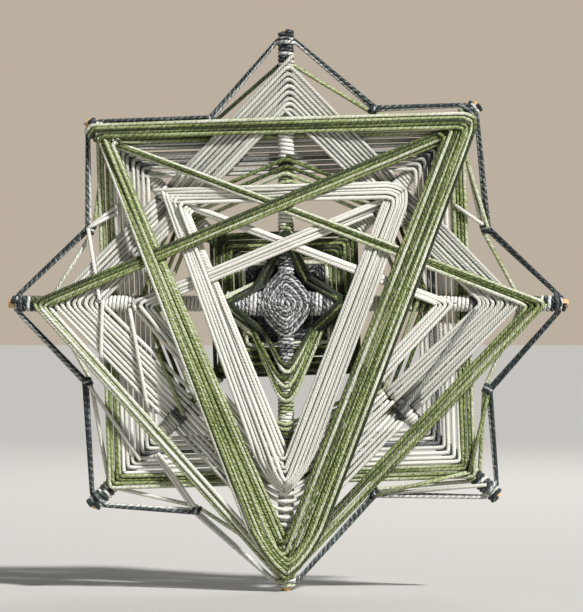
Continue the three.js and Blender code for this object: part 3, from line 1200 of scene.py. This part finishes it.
@dataclass(frozen=True)
class YarnPiece:
    """A finished piece of yarn: one or more strands in one mesh."""

    name: str
    strands: list[Strand]

    def build(self, material: bpy.types.Material, chance: np.random.Generator) -> bpy.types.Object:
        """Sweeps the strands into a mesh.

        Args:
            material: the yarn's material.
            chance: gives each strand its own stretch of yarn.

        Returns:
            The object, in place.
        """
        verts: list[np.ndarray] = []
        faces: list[tuple[int, ...]] = []
        uvs: list[Span] = []
        tones: list[np.ndarray] = []
        base = 0
        for strand in self.strands:
            line = rounded(np.column_stack([np.array(strand.points), np.array(strand.tones)]))
            rings, lengths, crease_shade_mask = sweep(line[:, :3])
            lengths = lengths + chance.uniform(0, YARN_BALL)
            verts.append(rings.reshape(-1, 3))
            # Painted shade: the tone darkens on each strand's sides, in the crease beside its neighbour
            tones.append((line[:, 3:] + CREASE_SHADE * crease_shade_mask).ravel())
            for i, (here, there) in enumerate(zip(lengths[:-1], lengths[1:])):
                a = base + i * STRAND_SIDES
                for j in range(STRAND_SIDES):
                    k = (j + 1) % STRAND_SIDES
                    faces.append((a + j, a + k, a + k + STRAND_SIDES, a + j + STRAND_SIDES))
                    v0, v1 = j / STRAND_SIDES, (j + 1) / STRAND_SIDES
                    uvs.extend(((here, v0), (here, v1), (there, v1), (there, v0)))
            last = base + (len(rings) - 1) * STRAND_SIDES
            faces.append(tuple(base + j for j in reversed(range(STRAND_SIDES))))
            faces.append(tuple(last + j for j in range(STRAND_SIDES)))
            uvs.extend([(lengths[0], 0.0)] * STRAND_SIDES)
            uvs.extend([(lengths[-1], 0.0)] * STRAND_SIDES)
            base += len(rings) * STRAND_SIDES
        mesh = bpy.data.meshes.new(self.name)
        mesh.from_pydata((np.concatenate(verts) * MM).tolist(), [], faces)
        layer = mesh.uv_layers.new(name="strand")
        layer.data.foreach_set("uv", np.array(uvs, dtype=np.float32).ravel())
        tone = mesh.attributes.new("tone", "FLOAT", "POINT")
        tone.data.foreach_set("value", np.concatenate(tones).astype(np.float32))
        mesh.polygons.foreach_set("use_smooth", [True] * len(mesh.polygons))
        mesh.materials.append(material)
        piece = bpy.data.objects.new(self.name, mesh)
        bpy.context.collection.objects.link(piece)
        return piece


def sweep(line: np.ndarray) -> tuple[np.ndarray, np.ndarray, np.ndarray]:
    """Rings of a round strand along a line.

    Args:
        line: rows of (x, z, out).

    Returns:
        Ring points in (x, y, z), one block for each row, the length run up to each row, and how far each
        ring point lies in the crease between strands that lie side by side, which sets its painted shade.
    """
    points = np.column_stack([line[:, 0], -line[:, 2], line[:, 1]])
    steps = np.diff(points, axis=0)
    spans = np.linalg.norm(steps, axis=1)
    legs = steps / np.maximum(spans, TINY)[:, None]
    for i in range(1, len(legs)):
        if spans[i] <= SHORTEST:
            legs[i] = legs[i - 1]
    heading = np.vstack([legs[:1], legs[:-1] + legs[1:], legs[-1:]])
    heading /= np.maximum(np.linalg.norm(heading, axis=1), TINY)[:, None]
    normal = np.cross(heading[0], SWEEP_SIDE)
    normal /= np.linalg.norm(normal)
    angles = np.arange(STRAND_SIDES) * 2 * math.pi / STRAND_SIDES
    rings = np.empty((len(points), STRAND_SIDES, 3))
    crease_shade_mask = np.empty((len(points), STRAND_SIDES))
    for i, (point, ahead) in enumerate(zip(points, heading)):
        normal = normal - ahead * (normal @ ahead)
        normal /= max(np.linalg.norm(normal), TINY)
        other = np.cross(ahead, normal)
        ring = np.outer(np.cos(angles), normal) + np.outer(np.sin(angles), other)
        rings[i] = point + YARN_RADIUS * ring
        # Painted shade mask: largest on the sides of the strand that face neither out nor in
        sides = np.clip((CREASE_WIDTH - np.abs(ring[:, 1])) / CREASE_WIDTH, 0, 1)
        crease_shade_mask[i] = sides * (1 - abs(ahead[1]))
    return rings, np.concatenate([[0.0], np.cumsum(spans)]), crease_shade_mask


@dataclass(frozen=True)
class DowelSet:
    """The four dowels, read from the frame and turned smooth."""

    sides: int = 32
    ease: float = 0.5
    ease_steps: int = 3
    smooth_angle: float = 40.0
    grain_shift: float = 0.001

    def read(self) -> dict[str, Dowel]:
        """Reads thickness, length and depth of the dowels from the frame.

        Returns:
            The dowels by node name.
        """
        low, high = (np.array(corner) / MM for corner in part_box("horizontal_dowel"))
        length = float(high[0] - low[0])
        radius = float(high[2] - low[2]) / 2
        dowels = {}
        for node, (angle, shift) in DOWEL_PLACES.items():
            low, high = (np.array(corner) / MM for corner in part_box(node))
            out = -float(low[1] + high[1]) / 2
            dowels[node] = Dowel(node, angle, shift, out, length, radius)
        return dowels

    def build(self, dowel: Dowel, material: bpy.types.Material) -> bpy.types.Object:
        """Turns one dowel with eased ends.

        Args:
            dowel: its place and size.
            material: the wood.

        Returns:
            The object, in place.
        """
        bpy.ops.object.select_all(action="DESELECT")
        bpy.ops.mesh.primitive_cylinder_add(
            vertices=self.sides, radius=dowel.radius * MM, depth=dowel.length * MM
        )
        piece = bpy.context.object
        piece.name = f"{dowel.node}_wood"
        bevel = piece.modifiers.new("ends", "BEVEL")
        bevel.width = self.ease * MM
        bevel.segments = self.ease_steps
        bevel.limit_method = "ANGLE"
        bpy.ops.object.modifier_apply(modifier=bevel.name)
        bpy.ops.object.shade_smooth_by_angle(angle=math.radians(self.smooth_angle))
        places = np.empty(3 * len(piece.data.vertices), dtype=np.float32)
        piece.data.vertices.foreach_get("co", places)
        grain = piece.data.attributes.new("grain", "FLOAT_VECTOR", "POINT")
        grain.data.foreach_set("vector", places + dowel.angle * self.grain_shift)
        piece.rotation_euler = (0, math.radians(90 - dowel.angle), 0)
        x, z = dowel.direction * dowel.shift
        piece.location = (x * MM, -dowel.out * MM, z * MM)
        bpy.ops.object.transform_apply(location=True, rotation=True, scale=True)
        piece.data.materials.append(material)
        return piece


class Bench:
    """The loom, the finishes, and the pieces made so far."""

    def __init__(self) -> None:
        """Reads the dowels from the frame and makes the finishes."""
        self.dowel_set = DowelSet()
        self.dowels = self.dowel_set.read()
        self.loom = Loom(self.dowels)
        plies = Plies().group()
        self.materials = {yarn: finish.material(plies) for yarn, finish in FINISHES.items()}
        self.wood = WoodFinish()
        self.wood_material = self.wood.material()
        self.made: dict[str, str] = {}

    def dress(self, name: str, yarn: Yarn, strands: list[Strand], *nodes: str) -> None:
        """Makes a piece of yarn and puts it in the place of CAD nodes.

        Args:
            name: name of the piece.
            yarn: the yarn.
            strands: its strands.
            nodes: CAD nodes that it stands for.
        """
        piece = YarnPiece(name, strands).build(self.materials[yarn], self.loom.chance)
        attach(piece, "root")
        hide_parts(*nodes)
        length = sum(strand.length for strand in strands) * MM
        front = max(strand.front for strand in strands)
        faces = len(piece.data.polygons)
        self.made[name] = f"{length:.1f} m of yarn, {faces} faces, out to {front:.1f} mm"

    def wind(self, windings: tuple[Winding, ...]) -> None:
        """Winds and dresses each of several windings."""
        for winding in windings:
            self.dress(f"{winding.node}_yarn", winding.yarn, winding.route(self.loom), winding.node)

    def wrap(self, node: str, yarn: Yarn, *sleeves: Sleeve) -> None:
        """Wraps an arm with close turns."""
        self.dress(f"{node}_yarn", yarn, [sleeve.route(self.loom) for sleeve in sleeves], node)

    def wrap_tip(self, arm: Arm) -> None:
        """Wraps the end of an arm."""
        last = self.loom.arms[arm].length - BARE_ENDS[arm] - YARN_RADIUS
        self.wrap(f"tip_wrap_{arm.value}", CHARCOAL, Sleeve(arm, TIP_STARTS[arm], last, TIP_TONES))

    def put_dowels(self, nodes: tuple[str, ...]) -> None:
        """Puts in dowels.

        Args:
            nodes: their CAD nodes.
        """
        for node in nodes:
            piece = self.dowel_set.build(self.dowels[node], self.wood_material)
            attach(piece, "root")
            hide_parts(node)
            self.loom.put_dowel(self.dowels[node])
            self.made[piece.name] = f"{len(piece.data.polygons)} faces of wood"


def ring(arms: tuple[Arm, ...], span: Span, bend: float) -> tuple[Stop, ...]:
    """Stops at the same distances on several arms, with a bend on each."""
    return tuple(Stop(arm, span, bend=(bend, bend)) for arm in arms)


@dataclass(frozen=True)
class BackCross:
    """The slanting dowels and the yarn on them alone."""

    dowels: tuple[str, ...] = ("rising_dowel", "falling_dowel")
    inner_wrap: Span = (55, 67)
    outer_wrap: Span = (82, 102)
    outer_tones: tuple[Tones, ...] = (
        (0.1, 0.2),
        (0.1, 0.3),
        (0.9, 0.8, 0.1, 0.1, 0.1),
        (0.8, 0.1, 0.1, 0.1),
    )
    windings: tuple[Winding, ...] = (
        # Painted shade, in part: the back eye and green square are darker than their yarn for the front
        # cross's shadow
        Winding("back_eye", GREY, ring(BACK_ARMS, (13, 29), 2.5), 8, ((0.95, 0.75, 1.0, 0.7),)),
        Winding(
            "back_green_square",
            GREEN,
            ring(BACK_ARMS, (31.5, 55), 2.5),
            9,
            ((0.1, 0.45, 0.85, 0.7, 0.9, 0.6, 0.85, 0.75, 0.9),),
        ),
        # Painted shade: the greys on the white square stand for the shadow that the front layers cast on it
        Winding(
            "back_white_square",
            WHITE,
            ring(BACK_ARMS, (102, 128), 2.5),
            8,
            (
                (0.3, 0.45, 0.5, 0.75, 0.6, 0.4, 0.5, 0.35),
                (0.2, 0.3, 0.65, 0.8, 0.3, 0.15, 0.1, 0.1),
                (0.2, 0.25, 0.15, 0.7, 0.15, 0.05, 0.1, 0.05),
                (0.2, 0.3, 0.35, 0.15, 0.4, 0.1, 0.2, 0.05),
            ),
        ),
        Winding("back_green_rim", GREEN, ring(BACK_ARMS, (130.5, 139), 2.5), 4, ((0.4, 0.55, 0.5, 0.25),)),
    )

    def build(self, bench: Bench) -> None:
        """Puts in the dowels, wraps their arms and winds round them.

        Args:
            bench: the loom, the finishes and the pieces made so far.
        """
        bench.put_dowels(self.dowels)
        for arm, tones in zip(BACK_ARMS, self.outer_tones):
            sleeves = Sleeve(arm, *self.inner_wrap), Sleeve(arm, *self.outer_wrap, tones)
            bench.wrap(f"arm_wrap_{arm.value}", WHITE, *sleeves)
            bench.wrap_tip(arm)
        bench.wind(self.windings)


@dataclass(frozen=True)
class FrontCross:
    """The upright and level dowels and the yarn on them alone; wraps are listed top, right, bottom, left."""

    dowels: tuple[str, ...] = ("vertical_dowel", "horizontal_dowel")
    eye: EyeDome = EyeDome()
    eye_wraps: tuple[Sleeve, ...] = (
        Sleeve(T, 15, 29, (0.5, 0.15, 0.6, 0.25, 0.5)),
        Sleeve(R, 12.5, 29, (0.5, 0.15, 0.6, 0.25, 0.5), layer=1),
        Sleeve(B, 15, 36, (0.5, 0.15, 0.6, 0.25, 0.5)),
        Sleeve(L, 12.5, 32, (0.3, 0.05, 0.3, 0.1, 0.2), layer=1),
    )
    arm_wraps: tuple[tuple[Sleeve, ...], ...] = (
        (Sleeve(T, 43, 66), Sleeve(T, 80, 104)),
        (Sleeve(R, 34, 66), Sleeve(R, 92, 105, (0.1, 0.1, 0.9))),
        (Sleeve(B, 37, 41), Sleeve(B, 43, 53, (0.2, 0.4)), Sleeve(B, 60, 97, (0.1, 0.2))),
        (Sleeve(L, 36, 66), Sleeve(L, 85, 100)),
    )
    windings: tuple[Winding, ...] = (
        Winding(
            "front_green_diamond",
            GREEN,
            (
                Stop(R, (30, 36), bend=(3, 3)),
                Stop(UR, (15.5, 19), bend=(2, 2)),
                Stop(T, (34, 42), bend=(4, 4)),
                Stop(UL, (15.5, 19), bend=(2, 2)),
                Stop(L, (31, 40), bend=(3, 3)),
                Stop(LL, (19, 25), bend=(2, 2)),
                Stop(B, (38, 60), bend=(9, 16)),
                Stop(LR, (19, 25), bend=(2, 2)),
            ),
            6,
            # Partly painted shade: the upper legs' near-black tones are the yarn's dark green and the shadow
            # over the star's top
            (
                (1.2, 0.6, 1.25, 1.0, 0.7, 1.1),
                (1.2, 0.6, 1.1, 1.2, 1.1, 0.9),
                (1.25, 1.0, 1.3, 0.8, 1.2),
                (1.2, 0.8, 1.1, 0.2, 0.4, 0.1),
                (1.0, 1.1, 0.3, 0.9, 0.1, 0.35),
                (0.95, 0.15, 0.75, 0.05, 0.45, 0.1),
                (0.95, 0.3, 0.8, 0.4, 0.6, 0.2),
                (1.2, 0.5, 1.2, 0.9, 0.5, 1.1),
            ),
            cover=(0.3, 0.15, 0.35),
            looseness=1.0,
        ),
    )

    def build(self, bench: Bench) -> None:
        """Puts in the dowels, wraps their arms, and winds the eye and the star round it.

        Args:
            bench: the loom, the finishes and the pieces made so far.
        """
        bench.put_dowels(self.dowels)
        for arm, eye_wrap, arm_wraps in zip(FRONT_ARMS, self.eye_wraps, self.arm_wraps):
            bench.wrap(f"eye_wrap_{arm.value}", GREY, eye_wrap)
            bench.wrap(f"arm_wrap_{arm.value}", WHITE, *arm_wraps)
            bench.wrap_tip(arm)
        bench.dress("front_eye_yarn", GREY, [self.eye.route(bench.loom)], "front_eye")
        bench.wind(self.windings)


@dataclass(frozen=True)
class Binding:
    """The octagon and the web that tie the two crosses together."""

    octagon_back: Span = (67, 80)
    octagon_front: Span = (67, 79)
    octagon_bottom: Span = (66, 75)
    octagon_bend: Span = (2.5, 2.5)
    octagon_loops: int = 4
    octagon_tones: Tones = (0.35, 0.3, 0.85, 0.75)
    web: Winding = Winding(
        "white_web",
        WHITE,
        (
            Stop(T, (105, 131), bend=(4, 4)),
            Stop(R, (106, 127), bend=(4, 4)),
            Stop(B, (98, 131), bend=(20, 16)),
            Stop(L, (101, 126), bend=(4, 4)),
        ),
        9,
        # The upper legs' darker greys are partly greyer yarn and partly painted shade over the top of the
        # web
        ((0.3, 0.45, 0.35), (0.2, 0.3, 0.15), (0.05, 0.15, 0.1), (0.3, 0.15, 0.4)),
        behind_back_arms=True,
    )

    def octagon(self) -> Winding:
        """The winding over all eight arms.

        Returns:
            The winding.
        """
        spans = {arm: self.octagon_back if arm in BACK_ARMS else self.octagon_front for arm in Arm}
        spans[B] = self.octagon_bottom
        stops = tuple(Stop(arm, span, bend=self.octagon_bend) for arm, span in spans.items())
        return Winding("octagon", GREEN, stops, self.octagon_loops, (self.octagon_tones,))

    def build(self, bench: Bench) -> None:
        """Winds both."""
        bench.wind((self.octagon(), self.web))


@dataclass(frozen=True)
class InnerTriangles:
    """Three white triangles that share the bottom arm."""

    windings: tuple[Winding, ...] = (
        Winding(
            "white_triangle_right",
            WHITE,
            (
                Stop(UL, (71.6, 77.5), (81, 86.5)),
                Stop(R, (81, 91), (82.5, 90.5), (3, 4)),
                Stop(B, (88, 97), (80, 96)),
            ),
            4,
        ),
        Winding(
            "white_triangle_left",
            WHITE,
            (
                Stop(UR, (78, 88), (68, 81)),
                Stop(L, (71, 84), (75, 84), (3, 4)),
                Stop(B, (90, 100), (84.6, 95)),
            ),
            4,
            ((0.12, 0.18), (0.15,), (0.25, 0.3, 0.22)),
        ),
        Winding(
            "white_triangle_top",
            WHITE,
            (
                Stop(UL, (79.5, 91), (82, 91)),
                Stop(UR, (80, 91), (92, 107), (6, 15), pointed=True),
                Stop(B, (97, 121), (100, 128), (5, 46), pointed=True),
            ),
            5,
            ((0.1, 0.2, 0.12), (0.28, 0.2, 0.25, 0.3), (0.08, 0.15)),
        ),
    )

    def build(self, bench: Bench) -> None:
        """Winds the triangles."""
        bench.wind(self.windings)


@dataclass(frozen=True)
class WaistRing:
    """The pale line drawn in at the waists, and lengths left loose when it was tied."""

    line: Waisted = Waisted(
        from_tip=17.0,
        inset=3.0,
        lean=0.0,
        layers=1.0,
        tones=(0.3, 0.3, 0.35, 0.4, 0.9, 0.6, 0.4, 0.15, 0.1, 0.1, 0.1, 0.1, 0.1, 0.15, 0.35, 0.2),
        held={T: 18.5, R: 27.0, L: 24.0},
    )
    loose_white: tuple[Loose, ...] = (
        Loose(WAISTS[UL], (-91.5, 53.6)),
        Loose(WAISTS[UL], (-91.5, 49.8)),
        Loose(WAISTS[UL], (-101.3, 1.9)),
        Loose(WAISTS[R], (92.0, 53.6)),
        Loose(WAISTS[LL], (-71.3, -82.5)),
        Loose((-48.0, -113.0), (-69.5, -82.0)),
        Loose((-107.8, -44.0), (-79.5, -85.2)),
        Loose(WAISTS[B], (109.0, -99.0), 0.3),
        Loose((-99.7, 1.9), (-100.8, -33.5)),
        Loose((-85.0, -2.5), (-75.2, -58.0)),
        Loose((102.9, -3.5), (63.2, -59.6), 0.6),
    )
    loose_green: tuple[Loose, ...] = (
        Loose(WAISTS[R], (99.5, 76.0), 0.25),
        Loose(WAISTS[B], (100.2, -91.8), 0.4),
        Loose(WAISTS[LR], (100.2, -90.7), 0.6),
        Loose((-70.3, -25.3), (-56.1, -60.7), 0.4),
    )

    def build(self, bench: Bench) -> None:
        """Lays the line and the loose lengths.

        Args:
            bench: the loom, the finishes and the pieces made so far.
        """
        bench.dress("waist_ring_yarn", GREEN, [self.line.route(bench.loom)], "waist_ring")
        for name, yarn, lengths in (
            ("loose_white_yarn", WHITE, self.loose_white),
            ("loose_green_yarn", GREEN, self.loose_green),
        ):
            bench.dress(name, yarn, [loose.route(bench.loom) for loose in lengths], "waist_ring")


@dataclass(frozen=True)
class OuterTriangles:
    """Three green triangles that share the bottom arm."""

    windings: tuple[Winding, ...] = (
        Winding(
            "green_triangle_right",
            GREEN,
            (
                Stop(UL, (127, 132.3), (128, 133.5)),
                Stop(R, (128, 143), (133, 142), (4, 4)),
                Stop(B, (140, 150), (129, 145)),
            ),
            4,
            ((0.15, 0.6, 0.7, 0.15), (0.63, 0.6, 0.38, 0.63), (0.42, 0.3, 0.46, 0.38)),
            girth=1.5,
        ),
        Winding(
            "green_triangle_left",
            GREEN,
            (
                Stop(UR, (125, 142), (120.5, 135)),
                Stop(L, (126, 139), (131, 138), (4, 4)),
                Stop(B, (146, 152.6), (129, 150)),
            ),
            4,
            ((0.64, 0.34, 0.66, 0.78), (0.04, 0.24, 0.0, 0.24), (0.58, 0.24, 0.68, 0.42)),
            girth=1.5,
        ),
        Winding(
            "green_triangle_top",
            GREEN,
            (
                Stop(UL, (134, 141), (135, 144)),
                Stop(UR, (133, 143), (146.5, 160), (5, 10), pointed=True),
                Stop(B, (155.5, 177), (148.5, 175), (27, 58), pointed=True),
            ),
            5,
            ((0.5, 0.75, 0.85, 0.5, 0.2), (0.66, 0.36, 0.68, 0.18, 1.0), (0.4, 0.5, 0.28, 0.5, 0.0)),
            girth=1.5,
            leave_lift=1.6,
        ),
    )

    def build(self, bench: Bench) -> None:
        """Winds the triangles."""
        bench.wind(self.windings)


@dataclass(frozen=True)
class Edge:
    """The outline from tip to tip, of two lines side by side, and its ties."""

    lines: tuple[Waisted, ...] = (
        Waisted(
            from_tip=4.5,
            inset=-0.8,
            lean=0.6,
            layers=1.5,
            tones=(0.85, 0.75, 0.8, 0.75, 0.7, 0.85, 0.75, 0.85, 0.3, 0.85, 0.75, -0.2, 0.7, 0.1, 0.85, 0.9),
            held={B: 3.0},
            waist_out=WAIST_OUT + 0.5,
        ),
        Waisted(
            from_tip=6.2,
            inset=0.8,
            lean=0.6,
            layers=2.0,
            tones=(0.7, 0.5, 0.2, 0.3, 0.2, 0.7, 0.1, 0.7, 0.8, 0.6, 0.1, -0.2, 0.6, 0.3, 0.3, 0.8),
            held={B: 4.6},
            waist_out=WAIST_OUT - 0.5,
        ),
    )

    def build(self, bench: Bench) -> None:
        """Lays the lines and ties them at the waists.

        Args:
            bench: the loom, the finishes and the pieces made so far.
        """
        bench.dress("outline_yarn", CHARCOAL, [line.route(bench.loom) for line in self.lines], "outline")
        for arm in Arm:
            node = f"waist_tie_{arm.value}"
            bench.dress(f"{node}_yarn", CHARCOAL, [Tie(arm).route()], node)


@dataclass(frozen=True)
class Studio:
    """Floor, lights and camera; sizes of the floor and lamps and places of the lamps are in metres.

    The camera has the photograph's frame in pixels, the crossing's place in it, and its scale, which
    holds at `scale_out` from the wall.
    """

    floor_size: float = 30.0
    floor_colour: Triple = (0.52, 0.5, 0.47)
    floor_roughness: float = 0.8
    ambient: Triple = (0.06, 0.06, 0.06)
    backdrop: Triple = (0.5, 0.43, 0.35)
    key_from: Triple = (1.35, -1.4, 1.7)
    key_strength: float = 5.2
    key_softness: float = 5.0
    fill_from: Triple = (-1.4, -1.6, 0.5)
    fill_power: float = 2.5
    back_from: Triple = (0.5, 1.6, 1.2)
    back_power: float = 12.0
    lamp_size: float = 1.2
    frame_px: Span = (583, 612)
    crossing_px: Span = (286.0, 303.5)
    mm_per_px: float = 0.5446
    scale_out: float = 16.0
    distance: float = 2400.0
    sensor: float = 36.0

    def build(self, lowest: float) -> None:
        """Sets up the stage.

        Args:
            lowest: height of the object's lowest point, in metres.
        """
        self.floor(lowest)
        self.surround()
        key = bpy.data.lights.new("key", "SUN")
        key.energy = self.key_strength
        key.angle = math.radians(self.key_softness)
        self.hang(key, self.key_from)
        for name, place, power in (
            ("fill", self.fill_from, self.fill_power),
            ("back", self.back_from, self.back_power),
        ):
            lamp = bpy.data.lights.new(name, "AREA")
            lamp.size = self.lamp_size
            lamp.energy = power
            self.hang(lamp, place)
        self.camera()

    def floor(self, lowest: float) -> None:
        """A wide pale floor.

        Args:
            lowest: its height, in metres.
        """
        bpy.ops.object.select_all(action="DESELECT")
        bpy.ops.mesh.primitive_plane_add(size=self.floor_size, location=(0, 0, lowest))
        floor = bpy.context.object
        floor.name = "floor"
        bpy.ops.object.transform_apply(location=True, rotation=True, scale=True)
        values = {"Base Color": (*self.floor_colour, 1), "Roughness": self.floor_roughness}
        floor.data.materials.append(new_material("pale_floor", values)[0])
        floor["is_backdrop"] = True

    def surround(self) -> None:
        """Weak even light from all sides, with a plain backdrop for the camera alone."""
        world = bpy.data.worlds.new("surround")
        world.use_nodes = True
        tree = world.node_tree
        path = tree.nodes.new("ShaderNodeLightPath")
        seen = tree.nodes.new("ShaderNodeMix")
        seen.data_type = "RGBA"
        seen.inputs["A"].default_value = (*self.ambient, 1)
        seen.inputs["B"].default_value = (*self.backdrop, 1)
        tree.links.new(path.outputs["Is Camera Ray"], seen.inputs["Factor"])
        tree.links.new(seen.outputs["Result"], tree.nodes["Background"].inputs["Color"])
        bpy.context.scene.world = world
        bpy.context.scene.view_settings.view_transform = "Standard"

    @staticmethod
    def hang(light: bpy.types.Light, place: Triple) -> None:
        """Hangs a light so that it faces the crossing.

        Args:
            light: the light.
            place: where it hangs.
        """
        lamp = bpy.data.objects.new(light.name, light)
        x, y, z = place
        if light.type == "AREA":
            lamp.location = place
        lamp.rotation_euler = (math.atan2(math.hypot(x, y), z), 0, math.atan2(y, x) + math.pi / 2)
        bpy.context.collection.objects.link(lamp)

    def camera(self) -> None:
        """A camera straight in front, framed as the photograph is."""
        data = bpy.data.cameras.new("camera")
        data.sensor_fit = "HORIZONTAL"
        data.sensor_width = self.sensor
        data.lens = self.sensor * self.distance / (self.frame_px[0] * self.mm_per_px)
        camera = bpy.data.objects.new("camera", data)
        x = (self.frame_px[0] / 2 - self.crossing_px[0]) * self.mm_per_px
        z = (self.crossing_px[1] - self.frame_px[1] / 2) * self.mm_per_px
        camera.location = (x * MM, -(self.distance + self.scale_out) * MM, z * MM)
        camera.rotation_euler = (math.pi / 2, 0, 0)
        bpy.context.collection.objects.link(camera)
        bpy.context.scene.camera = camera


def main() -> None:
    """Loads the frame, builds the ornament in the order it is made, and sets the stage."""
    logging.basicConfig(level=logging.INFO, format="%(message)s")
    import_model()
    cad_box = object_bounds()
    bench = Bench()
    for assembly in (
        BackCross(),
        FrontCross(),
        Binding(),
        InnerTriangles(),
        WaistRing(),
        OuterTriangles(),
        Edge(),
    ):
        assembly.build(bench)
    for name, report in bench.made.items():
        LOG.info("%s: %s", name, report)
    Studio().build(float(cad_box[0][2]))


if __name__ == "__main__":
    main()
